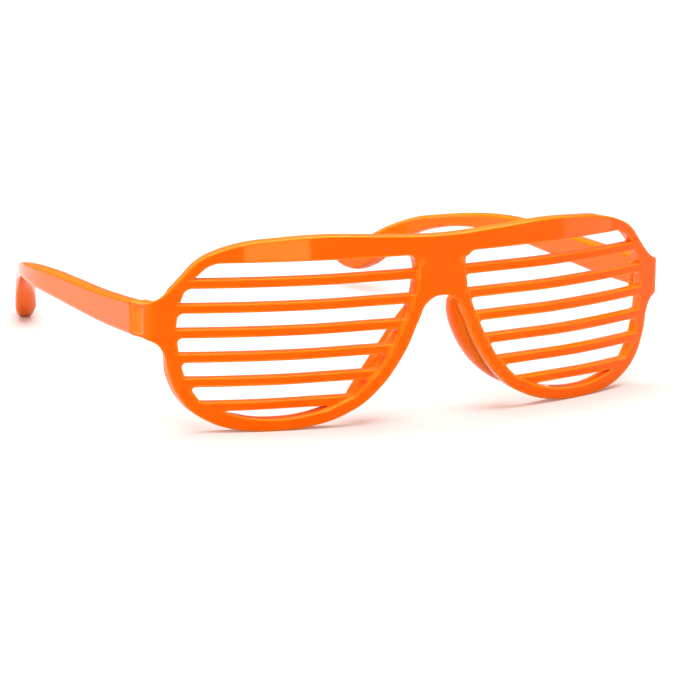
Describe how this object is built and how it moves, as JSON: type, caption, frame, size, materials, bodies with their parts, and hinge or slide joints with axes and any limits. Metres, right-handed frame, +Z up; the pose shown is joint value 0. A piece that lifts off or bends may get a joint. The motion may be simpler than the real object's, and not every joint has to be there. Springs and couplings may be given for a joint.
{
  "type": "slatted novelty glasses",
  "caption": "Wrap-around party glasses with horizontal slats across both eye openings, moulded nose pads and folding temples with hooked tips.",
  "frame": {"origin": "centre of the bounding box of the open glasses, on the table surface", "axes": "+Z up from the table, +X towards the wearer's left, -Y the way the wearer looks. The words left and right in the piece names are as seen from the front, so left is -X."},
  "size_m": [0.154, 0.1721, 0.05],
  "materials": {
    "frame_plastic": "glossy injection-moulded orange",
    "temple_plastic": "glossy injection-moulded orange",
    "screw_steel": "plain steel screw"
  },
  "bodies": {
    "front": {"front_frame": "frame_plastic", "hinge_screw_left": "screw_steel", "hinge_screw_right": "screw_steel"},
    "temple_left": {"temple_left": "temple_plastic"},
    "temple_right": {"temple_right": "temple_plastic"}
  },
  "joints": [
    {"name": "temple_left_fold", "type": "hinge", "parent": "front", "child": "temple_left", "pos_m": [-0.0723, -0.0632, 0.0282], "axis": [0, 0, -1], "range_deg": [0, 76]},
    {"name": "temple_right_fold", "type": "hinge", "parent": "front", "child": "temple_right", "pos_m": [0.0723, -0.0632, 0.0282], "axis": [0, 0, 1], "range_deg": [0, 84]}
  ]
}
